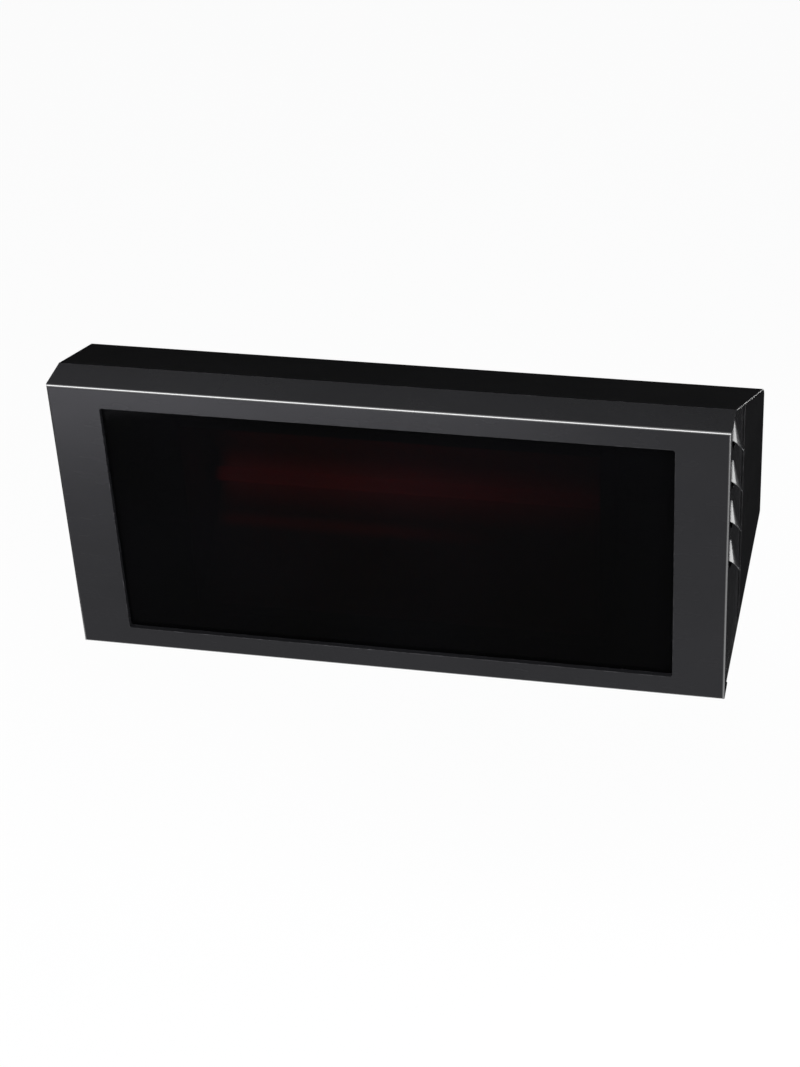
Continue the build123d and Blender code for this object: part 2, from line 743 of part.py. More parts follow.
# Cable gland in the back, with no cable
back_out = (0, 1, 0)
gland = rod((gland_x, inside_y - gland_inner + case_sheet, gland_z), back_out, gland_thread_r,
            gland_inner)
gland += hex_bar((gland_x, back_y, gland_z), back_out, gland_flange_af, gland_flange)
nut_y = back_y + gland_flange
gland += rod((gland_x, nut_y, gland_z), back_out, gland_neck_r, gland_neck)
gland_bore = rod((gland_x, back_y - reach, gland_z), back_out, gland_bore_r, 2 * reach)
gland -= gland_bore
save("gland_body", gland)
cap_nut = rod((gland_x, nut_y, gland_z), back_out, gland_nut_r, gland_nut_length)
cap_nut = fillet(cap_nut.edges().filter_by(GeomType.CIRCLE).sort_by(Axis.Y)[-1], 2.5)
cap_nut -= rod((gland_x, nut_y, gland_z), back_out, gland_neck_r + thread_gap, gland_neck)
seal_room = gland_nut_length - gland_nut_wall
cap_nut -= rod((gland_x, nut_y, gland_z), back_out, gland_seal_r + thread_gap, seal_room)
cap_nut -= gland_bore
save("gland_nut", cap_nut)
rubber = rod((gland_x, nut_y + gland_neck, gland_z), back_out, gland_seal_r, seal_room - gland_neck)
rubber -= gland_bore
save("gland_seal", rubber)
locknut = hex_bar((gland_x, inside_y, gland_z), (0, -1, 0), gland_locknut_af, gland_locknut)
locknut -= rod((gland_x, inside_y, gland_z), (0, -1, 0), gland_thread_r + thread_gap, gland_locknut)
save("gland_locknut", locknut)

# Tilt pivot: lugs on the case, a wall bracket, bolts, washers and nuts
pivot_y = -pivot_from_wall
foot_y = back_y + lug_sheet
lug = box(lug_x - lug_foot, lug_x + lug_sheet, back_y, foot_y, -lug_half_height, lug_half_height)
lug = fillet(lug.edges().filter_by(Axis.Y).sort_by(Axis.X)[:2], wall_corner)
lug += box(lug_x, lug_x + lug_sheet, back_y, pivot_y, -pivot_end_r, pivot_end_r)
lug += rod((lug_x, pivot_y, 0), (1, 0, 0), pivot_end_r, lug_sheet)
lug -= rod((lug_x - 1, pivot_y, 0), (1, 0, 0), pivot_r + running_clearance, lug_sheet + 2)
lug_screws = []
lug_nuts = []
for step in (-1, 1):
    place = (lug_screw_x, foot_y, step * lug_screw_run)
    lug -= rod((lug_screw_x, foot_y + 1, step * lug_screw_run), (0, -1, 0), M5[0] + 0.2, lug_sheet + 2)
    item = screw(place, (0, -1, 0), M5, lug_sheet + case_sheet + M5[4] + bolt_end)
    lug_screws += [item, mirrored(item)]
    item = nut((lug_screw_x, inside_y, step * lug_screw_run), (0, -1, 0), M5)
    lug_nuts += [item, mirrored(item)]
save("pivot_lug_right", lug)
save("pivot_lug_left", mirrored(lug))
save("lug_screws", *lug_screws)
save("lug_nuts", *lug_nuts)

washer_x = lug_x + lug_sheet + washer_gap
ear_x = washer_x + washer_thick
ear_out = ear_x + wall_sheet
plate_block = box(-ear_out, ear_out, -wall_sheet, 0, wall_bottom, wall_top)
ear_points = [(-wall_sheet, wall_bottom), (-wall_sheet, wall_top), (pivot_y, pivot_end_r),
              (pivot_y, -pivot_end_r)]
ear_face = make_face(Polyline(*ear_points, close=True))
ear = extrude(Plane.YZ.offset(ear_x) * ear_face, wall_sheet)
ear += rod((ear_x, pivot_y, 0), (1, 0, 0), pivot_end_r, wall_sheet)
ear -= rod((ear_x - 1, pivot_y, 0), (1, 0, 0), pivot_r + thread_gap, wall_sheet + 2)
wall_bracket = plate_block + ear + mirrored(ear)
wall_middle = (wall_top + wall_bottom) / 2
for side in (-1, 1):
    for step in (-1, 1):
        start = (side * wall_hole_x / 2, 1, wall_middle + step * wall_hole_z / 2)
        wall_bracket -= rod(start, (0, -1, 0), wall_hole_r, wall_sheet + 2)
outer_edges = wall_bracket.edges().filter_by(Axis.Z).filter_by_position(Axis.Y, -0.1, 0.1)
wall_bracket = fillet(outer_edges, wall_bend)
save("wall_bracket", wall_bracket)

bolt_length = ear_out - lug_x + washer_gap + washer_thick + M8[4] + bolt_end
bolt = rod((ear_out, pivot_y, 0), (-1, 0, 0), pivot_r, bolt_length)
bolt += hex_bar((ear_out, pivot_y, 0), (1, 0, 0), M8[3], M8[2])
save("pivot_bolts", bolt, mirrored(bolt))
inner_washer_x = lug_x - washer_gap - washer_thick
washers = []
for start in (washer_x, inner_washer_x):
    item = rod((start, pivot_y, 0), (1, 0, 0), washer_r, washer_thick)
    item -= rod((start, pivot_y, 0), (1, 0, 0), pivot_r + thread_gap, washer_thick)
    washers += [item, mirrored(item)]
save("pivot_washers", *washers)
pivot_nut = nut((inner_washer_x, pivot_y, 0), (-1, 0, 0), M8)
save("pivot_nuts", pivot_nut, mirrored(pivot_nut))
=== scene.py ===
import json
from math import cos, pi, radians, sin

import bmesh
import bpy
from mathutils import Matrix, Vector


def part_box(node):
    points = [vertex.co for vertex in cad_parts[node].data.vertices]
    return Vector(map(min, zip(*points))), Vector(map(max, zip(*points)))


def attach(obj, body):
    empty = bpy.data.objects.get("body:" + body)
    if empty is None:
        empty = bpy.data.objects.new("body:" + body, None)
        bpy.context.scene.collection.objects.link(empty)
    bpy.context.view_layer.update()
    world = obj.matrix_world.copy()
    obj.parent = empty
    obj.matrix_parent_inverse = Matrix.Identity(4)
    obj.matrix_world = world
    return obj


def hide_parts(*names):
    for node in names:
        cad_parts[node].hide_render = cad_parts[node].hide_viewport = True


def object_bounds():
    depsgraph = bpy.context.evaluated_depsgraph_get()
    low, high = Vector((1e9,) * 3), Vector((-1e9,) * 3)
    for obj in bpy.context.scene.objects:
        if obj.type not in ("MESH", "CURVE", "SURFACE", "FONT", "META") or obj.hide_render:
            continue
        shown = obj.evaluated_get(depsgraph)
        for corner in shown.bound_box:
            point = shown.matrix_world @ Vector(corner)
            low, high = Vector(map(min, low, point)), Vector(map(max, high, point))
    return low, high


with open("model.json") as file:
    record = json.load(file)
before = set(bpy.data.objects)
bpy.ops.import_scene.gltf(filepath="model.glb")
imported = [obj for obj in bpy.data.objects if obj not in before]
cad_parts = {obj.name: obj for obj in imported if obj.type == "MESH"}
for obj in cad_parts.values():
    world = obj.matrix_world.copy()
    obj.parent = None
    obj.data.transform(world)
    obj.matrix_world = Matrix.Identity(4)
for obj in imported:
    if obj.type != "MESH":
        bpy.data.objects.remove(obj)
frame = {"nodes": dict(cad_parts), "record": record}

cad_low, cad_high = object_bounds()
nodes = frame["nodes"]
scene = bpy.context.scene
scene.view_settings.view_transform = "Standard"

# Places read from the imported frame, in metres
frame_low, frame_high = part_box("front_frame")
front_y = frame_low.y
middle_z = (frame_low.z + frame_high.z) / 2
lamp_low, lamp_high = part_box("lamp_tube")
lamp_y = (lamp_low.y + lamp_high.y) / 2
lamp_z = (lamp_low.z + lamp_high.z) / 2
glass_low, glass_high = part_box("glass_panel")
glass_middle_y = (glass_low.y + glass_high.y) / 2
front_centre = Vector((0.0, front_y, middle_z))

# Camera: solved from the front's corners in the photograph, turned in degrees, placed in widths of the front
PHOTO_HEIGHT = 1067
FOCAL_PIXELS = 2511.32
SENSOR = 36.0
CAMERA_TURN = (35.6421, 11.6978, 4.6637)
CAMERA_PLACE = (0.76667, -2.93253, 2.12328)
FRONT_WIDTH = 0.5


def add_camera():
    """The camera of the photograph."""
    turn_x, turn_y, turn_z = [radians(value) for value in CAMERA_TURN]
    turn = Matrix.Rotation(turn_z, 3, "Z") @ Matrix.Rotation(turn_y, 3, "Y") @ Matrix.Rotation(turn_x, 3, "X")
    look = turn @ Matrix(((1, 0, 0), (0, 0, -1), (0, 1, 0)))
    axes = Matrix((look[0], -look[1], -look[2])).transposed()
    data = bpy.data.cameras.new("camera")
    data.sensor_width = SENSOR
    data.lens = FOCAL_PIXELS / PHOTO_HEIGHT * SENSOR
    data.clip_start = 0.05
    data.clip_end = 60.0
    camera = bpy.data.objects.new("camera", data)
    place = front_centre + FRONT_WIDTH * Vector(CAMERA_PLACE)
    camera.matrix_world = Matrix.Translation(place) @ axes.to_4x4()
    scene.collection.objects.link(camera)
    scene.camera = camera


add_camera()

# Material settings that several looks share
NOISE_ROUGHNESS = 0.55
BEVEL_SAMPLES = 4
FLAT_SHARE = 0.985
BEND_SHARE = 0.9


class Nodes:
    """A node tree, built one node at a time."""

    def __init__(self, tree, output):
        self.tree = tree
        tree.nodes.clear()
        self.out = tree.nodes.new(output)

    def put(self, socket, value):
        """Set one input, or link it to another node's output."""
        if isinstance(value, bpy.types.NodeSocket):
            self.tree.links.new(value, socket)
        else:
            socket.default_value = value

    def node(self, kind, settings=None, **sockets):
        """A node of a kind, with its settings and inputs."""
        made = self.tree.nodes.new("ShaderNode" + kind)
        for name, value in (settings or {}).items():
            setattr(made, name, value)
        for name, value in sockets.items():
            key = int(name[1:]) if name[0] == "_" else name.replace("_", " ")
            self.put(made.inputs[key], value)
        return made

    def calc(self, operation, first, second=0.0):
        """One step of arithmetic."""
        return self.node("Math", {"operation": operation}, _0=first, _1=second).outputs["Value"]

    def show(self, shader):
        """Join a shader to the output."""
        self.tree.links.new(shader.outputs[0], self.out.inputs["Surface"])

    def seen_as_background(self):
        """1 where a ray comes from the camera, a reflection or a view through glass."""
        path = self.node("LightPath")
        seen = self.calc("MAXIMUM", path.outputs["Is Camera Ray"], path.outputs["Is Glossy Ray"])
        return self.calc("MAXIMUM", seen, path.outputs["Is Transmission Ray"])


class Look(Nodes):
    """A node material."""

    def __init__(self, name):
        self.material = bpy.data.materials.new(name)
        self.material.use_nodes = True
        super().__init__(self.material.node_tree, "ShaderNodeOutputMaterial")

    def place(self, scale=(1, 1, 1)):
        """Object coordinates in metres, stretched."""
        coords = self.node("TexCoord").outputs["Object"]
        return self.node("Mapping", Vector=coords, Scale=scale).outputs["Vector"]

    def axes(self):
        """The three object coordinates, one by one."""
        return self.node("SeparateXYZ", Vector=self.place()).outputs

    def noise(self, scale, detail=3.0, where=None):
        """Smooth noise, from 0 to 1."""
        where = where or self.place()
        made = self.node("TexNoise", Vector=where, Scale=scale, Detail=detail, Roughness=NOISE_ROUGHNESS)
        return made.outputs["Fac"]

    def cells(self, scale):
        """Distance to the nearest of many scattered points."""
        return self.node("TexVoronoi", Vector=self.place(), Scale=scale).outputs["Distance"]

    def span(self, value, low, high, to_low=0.0, to_high=1.0):
        """Map a range of one value to another, with its ends held."""
        made = self.node("MapRange", {"clamp": True}, Value=value, _1=low, _2=high, _3=to_low, _4=to_high)
        return made.outputs["Result"]

    def times(self, first, second):
        """The product of two values."""
        return self.calc("MULTIPLY", first, second)

    def below(self, value, drop):
        """How far a value is, either way, from a place a drop below its zero."""
        return self.calc("ABSOLUTE", self.calc("ADD", value, drop))

    def blend(self, share, first, second):
        """A blend of two colours."""
        made = self.node("Mix", {"data_type": "RGBA"})
        for index, value in ((0, share), (6, first), (7, second)):
            self.put(made.inputs[index], value)
        return made.outputs[2]

    def bump(self, height, strength, distance, normal=None):
        """A bump from a height, in metres."""
        sockets = {"Height": height, "Strength": strength, "Distance": distance}
        if normal is not None:
            sockets["Normal"] = normal
        return self.node("Bump", **sockets).outputs["Normal"]

    def soft_edge(self, radius):
        """The normal with its sharp edges rounded."""
        return self.node("Bevel", {"samples": BEVEL_SAMPLES}, Radius=radius).outputs["Normal"]

    def edge_mask(self, radius):
        """Near 1 on the sharp edges, 0 on the flats."""
        flat = self.node("NewGeometry").outputs["Normal"]
        facing = self.node("VectorMath", {"operation": "DOT_PRODUCT"}, _0=self.soft_edge(radius), _1=flat)
        return self.span(facing.outputs["Value"], FLAT_SHARE, BEND_SHARE)

    def bend_mask(self):
        """Near 1 on rounded bends, where the paint flows thin and glossy, 0 on the flats."""
        split = self.node("SeparateXYZ", Vector=self.node("TexCoord").outputs["Normal"])
        sides = [self.calc("ABSOLUTE", split.outputs[axis]) for axis in "XYZ"]
        most = self.calc("MAXIMUM", self.calc("MAXIMUM", sides[0], sides[1]), sides[2])
        return self.span(most, FLAT_SHARE, BEND_SHARE)

    def finish(self, **sockets):
        """The surface shader, joined to the output."""
        self.show(self.node("BsdfPrincipled", **sockets))
        return self.material


def rgb(red, green, blue):
    """A colour given as 0 to 255 on a screen."""
    parts = [value / 255 for value in (red, green, blue)]
    return tuple(c / 12.92 if c <= 0.04045 else ((c + 0.055) / 1.055) ** 2.4 for c in parts) + (1.0,)


def powder_coat(name, colour, worn, grain, bump, rough, level, edge, wear, bends=False):
    """Baked powder paint: a fine orange-peel grain, faint clouds, dust in the pits and rubbed edges."""
    look = Look(name)
    pits = look.cells(grain)
    skin = look.noise(grain * 0.45, 2.0)
    clouds = look.noise(9.0, 4.0)
    smears = look.noise(22.0, 3.0, look.place((1.0, 1.0, 3.5)))
    dark = tuple(c * 0.86 for c in colour[:3]) + (1.0,)
    light = tuple(c * 1.14 for c in colour[:3]) + (1.0,)
    base = look.blend(look.span(clouds, 0.3, 0.7), dark, light)
    base = look.blend(look.times(look.span(pits, 0.05, 0.55), 0.25), base, dark)
    scuff = look.span(look.noise(160.0, 4.0), 0.45, 0.72)
    rim = look.times(look.edge_mask(0.0012), scuff)
    base = look.blend(look.times(rim, wear), base, worn)
    gloss = look.span(smears, 0.25, 0.75, rough - 0.02, rough + 0.03)
    height = look.calc("ADD", look.times(pits, 0.6), skin)
    normal = look.bump(height, bump, 0.00012, look.soft_edge(edge))
    sockets = {"Base_Color": base, "Roughness": gloss, "Specular_IOR_Level": level, "Normal": normal}
    if bends:
        sockets.update(Coat_Weight=look.bend_mask(), Coat_Roughness=0.12, Coat_IOR=2.3)
    return look.finish(**sockets)


def frame_paint():
    """Satin anthracite powder coat."""
    return powder_coat("frame_paint", rgb(24, 24, 26), rgb(118, 117, 120), grain=2300.0, bump=0.12,
                       rough=0.26, level=0.16, edge=0.0006, wear=0.3, bends=True)


def case_paint():
    """Fine-grained satin black powder coat."""
    return powder_coat("case_paint", rgb(11, 11, 12), rgb(110, 110, 112), grain=2600.0, bump=0.16,
                       rough=0.34, level=0.17, edge=0.0006, wear=0.25)


def lit_side_paint():
    """Smoother and glossier black for the drawn sides, painted lighter than the case paint to stand in for
    the light on them, and lighter on the edges along the louvres.
    """
    # Painted light: a lighter base than the case paint's black, standing in for light falling on the sides
    return powder_coat("lit_side_paint", rgb(25, 25, 26), rgb(170, 170, 172), grain=2600.0, bump=0.1,
                       rough=0.22, level=0.6, edge=0.0005, wear=0.6)


# Glass: the spacing of its knobs, how much they cover on the back, and how much the front covers
KNOB_PITCH = 0.0029
KNOB_COVER = (0.78, 0.985)
FRONT_COVER = 0.92


def black_glass():
    """Polished black glass-ceramic with a field of small knobs on its back, which breaks up the glow."""
    look = Look("black_glass")
    split = look.axes()
    one = look.calc("SINE", look.times(split["X"], 2 * pi / KNOB_PITCH))
    two = look.calc("SINE", look.times(split["Z"], 2 * pi / KNOB_PITCH))
    bumpy = look.span(look.times(one, two), -0.5, 0.5, *KNOB_COVER)
    back = look.span(split["Y"], glass_middle_y - 0.0005, glass_middle_y + 0.0005)
    front = look.times(look.calc("SUBTRACT", 1.0, back), FRONT_COVER)
    cover = look.calc("ADD", look.times(back, bumpy), front)
    film = look.span(look.noise(14.0, 4.0), 0.3, 0.75, 0.035, 0.075)
    tint = look.blend(look.span(look.noise(5.0, 2.0), 0.3, 0.7), rgb(3, 3, 3), rgb(5, 5, 6))
    dust = look.span(look.noise(900.0, 1.0), 0.74, 0.8)
    tint = look.blend(look.times(dust, 0.15), tint, rgb(70, 70, 72))
    ripple = look.bump(look.noise(30.0, 1.0), 0.03, 0.0004, look.soft_edge(0.0005))
    return look.finish(Base_Color=tint, Roughness=film, Specular_IOR_Level=0.01, Alpha=cover, Normal=ripple)


def fibre_rope():
    """Woven glass-fibre tape."""
    look = Look("fibre_rope")
    warp = look.node("TexWave", {"bands_direction": "DIAGONAL"}, Vector=look.place(), Scale=420.0,
                     Distortion=1.5)
    weft = look.node("TexWave", {"bands_direction": "X"}, Vector=look.place(), Scale=380.0, Distortion=1.0)
    weave = look.times(warp.outputs["Fac"], weft.outputs["Fac"])
    fluff = look.noise(1800.0, 4.0)
    height = look.calc("ADD", weave, look.times(fluff, 0.4))
    base = look.blend(look.span(height, 0.1, 1.0), rgb(168, 162, 148), rgb(222, 218, 206))
    rough = look.span(fluff, 0.2, 0.8, 0.78, 0.95)
    return look.finish(Base_Color=base, Roughness=rough, Specular_IOR_Level=0.2,
                       Normal=look.bump(height, 0.6, 0.0003))


# The lamp's glow painted into the reflector as emission, a painted reflection of the lamp, with painted shade
# that weakens it to the right: a broad halo and a thin line below its axis, with lengths in metres
LIT_HALF = 0.146
PAINTED_FADE_END = 0.15
REFLECTOR_DARK = 0.155
HALO_DROP = 0.011
HALO_HALF = 0.027
HALO_FALL = 1.4
LINE_DROP = 0.041
LINE_HALF = 0.005
PAINTED_GLOW_STRENGTH = 0.95


def bright_aluminium():
    """Rolled reflector sheet: fine lines along it, faint heat stain, and emission that paints a reflection of
    the lamp's glow in two bands.
    """
    look = Look("bright_aluminium")
    rolled = look.noise(900.0, 4.0, look.place((0.03, 1.0, 1.0)))
    stain = look.noise(12.0, 4.0)
    base = look.blend(look.span(stain, 0.35, 0.75), rgb(226, 227, 230), rgb(196, 190, 182))
    base = look.blend(look.times(look.span(rolled, 0.3, 0.7), 0.25), base, rgb(150, 150, 152))
    rough = look.span(rolled, 0.25, 0.75, 0.5, 0.62)
    split = look.axes()
    across = split["X"]
    inside = look.span(look.calc("ABSOLUTE", across), REFLECTOR_DARK, LIT_HALF)
    from_axis = look.calc("SUBTRACT", split["Z"], lamp_z)
    halo = look.calc("POWER", look.span(look.below(from_axis, HALO_DROP), HALO_HALF, 0.0), HALO_FALL)
    # Painted shade: the painted reflection is made weaker towards the right
    halo = look.times(halo, look.span(across, 0.0, PAINTED_FADE_END, 1.0, 0.2))
    line = look.span(look.below(from_axis, LINE_DROP), LINE_HALF, 0.0)
    line = look.times(line, look.span(across, -0.02, 0.07, 0.45, 0.0))
    streak = look.span(rolled, 0.2, 0.8, 0.85, 1.1)
    # Painted reflection: emission on the reflector that stands in for the lamp's light falling on it
    glow = look.times(look.times(look.calc("ADD", halo, line), inside), streak)
    normal = look.bump(rolled, 0.12, 0.0001, look.soft_edge(0.0003))
    return look.finish(Base_Color=base, Metallic=1.0, Roughness=rough, Emission_Color=rgb(255, 62, 58),
                       Emission_Strength=look.times(glow, PAINTED_GLOW_STRENGTH), Normal=normal)


def dull_aluminium():
    """The reflector's end plates: etched sheet, browned by heat near the lamp."""
    look = Look("dull_aluminium")
    etched = look.noise(1100.0, 4.0)
    split = look.axes()
    away = look.node("CombineXYZ", Y=look.calc("SUBTRACT", split["Y"], lamp_y),
                     Z=look.calc("SUBTRACT", split["Z"], lamp_z))
    near = look.node("VectorMath", {"operation": "LENGTH"}, _0=away.outputs["Vector"]).outputs["Value"]
    heat = look.calc("ADD", look.span(near, 0.045, 0.01), look.times(look.noise(40.0), 0.3))
    base = look.blend(look.span(heat, 0.1, 1.1), rgb(84, 83, 82), rgb(34, 30, 28))
    return look.finish(Base_Color=base, Metallic=1.0, Roughness=look.span(etched, 0.2, 0.8, 0.5, 0.65),
                       Normal=look.bump(etched, 0.3, 0.0001, look.soft_edge(0.0003)))


def quartz():
    """Ruby-coated quartz tube that glows between its ends, with painted shade that makes the glow weaker to
    the right.
    """
    look = Look("quartz")
    across = look.axes()["X"]
    inside = look.span(look.calc("ABSOLUTE", across), 0.1525, LIT_HALF)
    coat = look.noise(60.0, 4.0, look.place((0.3, 1.0, 1.0)))
    base = look.blend(look.span(coat, 0.3, 0.7), rgb(120, 14, 12), rgb(172, 26, 20))
    # Painted shade: the tube's glow is made weaker towards its right end
    painted_fade = look.span(across, 0.0, PAINTED_FADE_END, 1.0, 0.25)
    strength = look.times(look.times(inside, painted_fade), look.span(coat, 0.2, 0.8, 0.8, 0.94))
    rough = look.span(coat, 0.3, 0.8, 0.04, 0.12)
    return look.finish(Base_Color=base, Roughness=rough, Alpha=look.span(coat, 0.2, 0.8, 0.62, 0.72),
                       Emission_Color=rgb(255, 66, 70), Emission_Strength=strength, Specular_IOR_Level=0.4,
                       Normal=look.bump(coat, 0.05, 0.0002))


def tungsten():
    """Drawn wire at a dull heat."""
    look = Look("tungsten")
    drawn = look.noise(2500.0, 3.0, look.place((0.2, 1.0, 1.0)))
    base = look.blend(drawn, rgb(92, 88, 84), rgb(150, 146, 140))
    heat = look.span(look.noise(300.0, 2.0), 0.2, 0.8, 0.4, 0.6)
    return look.finish(Base_Color=base, Metallic=1.0, Roughness=look.span(drawn, 0.2, 0.8, 0.3, 0.5),
                       Emission_Color=rgb(255, 96, 52), Emission_Strength=heat,
                       Normal=look.bump(drawn, 0.3, 0.00005))


def ceramic():
    """Off-white steatite with a fired skin, specks and a few chipped edges."""
    look = Look("ceramic")
    clouds = look.noise(45.0, 4.0)
    specks = look.span(look.cells(520.0), 0.10, 0.04)
    base = look.blend(look.span(clouds, 0.3, 0.7), rgb(224, 219, 206), rgb(238, 235, 226))
    base = look.blend(look.times(specks, 0.4), base, rgb(150, 138, 120))
    chips = look.times(look.edge_mask(0.0008), look.span(look.noise(260.0), 0.5, 0.62))
    base = look.blend(look.times(chips, 0.5), base, rgb(250, 249, 244))
    grain = look.noise(1500.0, 3.0)
    return look.finish(Base_Color=base, Roughness=look.span(grain, 0.2, 0.8, 0.38, 0.55),
                       Normal=look.bump(grain, 0.25, 0.0001, look.soft_edge(0.0004)))


def zinc_steel():
    """Bright zinc plate: small crystals, a faint blue and yellow cast, and fine brush lines."""
    look = Look("zinc_steel")
    crystals = look.node("TexVoronoi", Vector=look.place(), Scale=420.0)
    shade = look.node("SeparateXYZ", Vector=crystals.outputs["Color"]).outputs["X"]
    cast = look.noise(35.0, 3.0)
    base = look.blend(look.span(cast, 0.3, 0.7), rgb(176, 180, 188), rgb(192, 188, 176))
    base = look.blend(look.times(shade, 0.3), base, rgb(140, 143, 148))
    brushed = look.noise(1300.0, 3.0, look.place((0.15, 1.0, 1.0)))
    rough = look.calc("ADD", look.span(brushed, 0.2, 0.8, 0.2, 0.32), look.times(shade, 0.08))
    return look.finish(Base_Color=base, Metallic=1.0, Roughness=rough,
                       Normal=look.bump(brushed, 0.15, 0.00008, look.soft_edge(0.0003)))


def brass():
    """Turned brass with tool marks and a little tarnish."""
    look = Look("brass")
    turned = look.noise(2200.0, 2.0, look.place((1.0, 0.1, 1.0)))
    tarnish = look.noise(240.0, 4.0)
    base = look.blend(look.span(tarnish, 0.4, 0.7), rgb(214, 178, 96), rgb(150, 112, 56))
    return look.finish(Base_Color=base, Metallic=1.0, Roughness=look.span(tarnish, 0.3, 0.7, 0.2, 0.42),
                       Normal=look.bump(turned, 0.2, 0.00006, look.soft_edge(0.00025)))


def lead_sleeve():
    """Braided glass-fibre sleeve: two crossing spirals of yarn."""
    look = Look("lead_sleeve")
    split = look.axes()
    run = look.calc("ADD", split["X"], split["Z"])
    spirals = [look.calc("SINE", look.times(look.calc(way, run, split["Y"]), 5200.0))
               for way in ("ADD", "SUBTRACT")]
    yarn = look.span(look.times(*spirals), -1.0, 1.0)
    fluff = look.noise(2400.0, 3.0)
    shade = look.times(yarn, look.span(fluff, 0.1, 0.9, 0.7, 1.0))
    base = look.blend(shade, rgb(178, 174, 162), rgb(226, 223, 214))
    return look.finish(Base_Color=base, Roughness=look.span(fluff, 0.2, 0.8, 0.72, 0.87),
                       Specular_IOR_Level=0.3, Normal=look.bump(yarn, 0.5, 0.0002))


def earth_sleeve():
    """Green silicone sleeve with a yellow stripe."""
    look = Look("earth_sleeve")
    split = look.axes()
    wind = look.calc("SINE", look.times(look.calc("ADD", split["X"], split["Z"]), 900.0))
    skin = look.noise(1400.0, 3.0)
    base = look.blend(look.span(wind, -0.1, 0.1), rgb(58, 120, 44), rgb(214, 190, 42))
    base = look.blend(look.times(skin, 0.25), base, rgb(60, 62, 30))
    return look.finish(Base_Color=base, Roughness=look.span(skin, 0.2, 0.8, 0.45, 0.6),
                       Normal=look.bump(skin, 0.2, 0.0001))


def moulded(name, first, second, scale, rough, level):
    """Moulded plastic or rubber: a spark-eroded grain and dull clouds."""
    look = Look(name)
    grain = look.noise(scale, 4.0)
    clouds = look.noise(40.0, 3.0)
    base = look.blend(look.span(clouds, 0.3, 0.7), first, second)
    worn = look.times(look.edge_mask(0.0006), look.span(look.noise(300.0), 0.5, 0.7))
    base = look.blend(look.times(worn, 0.3), base, rgb(78, 78, 80))
    return look.finish(Base_Color=base, Roughness=look.span(grain, 0.2, 0.8, rough - 0.08, rough + 0.08),
                       Specular_IOR_Level=level, Normal=look.bump(grain, 0.3, 0.0001, look.soft_edge(0.0005)))


def black_nylon():
    """Moulded black nylon."""
    return moulded("black_nylon", rgb(24, 24, 25), rgb(34, 34, 36), scale=1900.0, rough=0.5, level=0.4)


def gland_rubber():
    """Soft black rubber."""
    return moulded("gland_rubber", rgb(20, 20, 20), rgb(38, 37, 36), scale=900.0, rough=0.78, level=0.25)


MAKERS = (frame_paint, case_paint, lit_side_paint, black_glass, fibre_rope, bright_aluminium, dull_aluminium,
          quartz, tungsten, ceramic, zinc_steel, brass, lead_sleeve, earth_sleeve, black_nylon, gland_rubber)
# The side panels take a lighter, lit copy of the case's black paint: painted light
OWN_LOOKS = {"reflector_end_left": "dull_aluminium", "reflector_end_right": "dull_aluminium",
             "side_panel_left": "lit_side_paint", "side_panel_right": "lit_side_paint"}
looks = {maker.__name__: maker() for maker in MAKERS}

for part in frame["record"]["subparts"]:
    held = nodes[part["node"]]
    held.data.materials.clear()
    held.data.materials.append(looks[OWN_LOOKS.get(part["node"], part["material_slot"])])


def add_piece(name, mesh, slot, body, *stands_for):
    """A new piece of the heater, with its finish, its body and the nodes that it stands for."""
    made = bpy.data.objects.new(name, mesh)
    scene.collection.objects.link(made)
    mesh.materials.append(looks[slot])
    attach(made, body)
    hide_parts(*stands_for)


def square_to(ahead, other):
    """Two directions square to one and to each other: other is the helper where the first runs along X."""
    side = ahead.cross(Vector((1, 0, 0)) if abs(ahead.x) < 0.9 else Vector(other)).normalized()
    return side, side.cross(ahead)


def tube_along(shell, points, radius, sides, closed=False):
    """A round wire through points, added to a bmesh."""
    loops = []
    count = len(points)
    for index, point in enumerate(points):
        before = points[index - 1] if (index or closed) else point
        after = points[(index + 1) % count] if (index < count - 1 or closed) else point
        side, up = square_to((after - before).normalized(), (0, 1, 0))
        ring = []
        for step in range(sides):
            angle = 2 * pi * step / sides
            ring.append(shell.verts.new(point + radius * (cos(angle) * side + sin(angle) * up)))
        loops.append(ring)
    spans = count if closed else count - 1
    for index in range(spans):
        near, far = loops[index], loops[(index + 1) % count]
        for step in range(sides):
            after = (step + 1) % sides
            shell.faces.new((near[step], far[step], far[after], near[after]))
    if not closed:
        shell.faces.new(loops[0])
        shell.faces.new(tuple(reversed(loops[-1])))


def mesh_from(shell, name, smooth):
    """Turn a bmesh into a mesh."""
    bmesh.ops.recalc_face_normals(shell, faces=shell.faces)
    mesh = bpy.data.meshes.new(name)
    shell.to_mesh(mesh)
    shell.free()
    for face in mesh.polygons:
        face.use_smooth = smooth
    return mesh


# The lamp's filament as a real coil, held by small support rings: lengths in metres, and counts
COIL_RADIUS = 0.00078
COIL_WIRE = 0.00014
COIL_TURNS = 330
COIL_STEPS = 10
COIL_TAIL = 0.006
WIRE_SIDES = 5
RING_COUNT = 11
RING_RADIUS = 0.0043
RING_WIRE = 0.0002
RING_STEPS = 20


def round_lamp(x, radius, angle):
    """A point at an angle round the lamp's axis."""
    return Vector((x, lamp_y + radius * cos(angle), lamp_z + radius * sin(angle)))


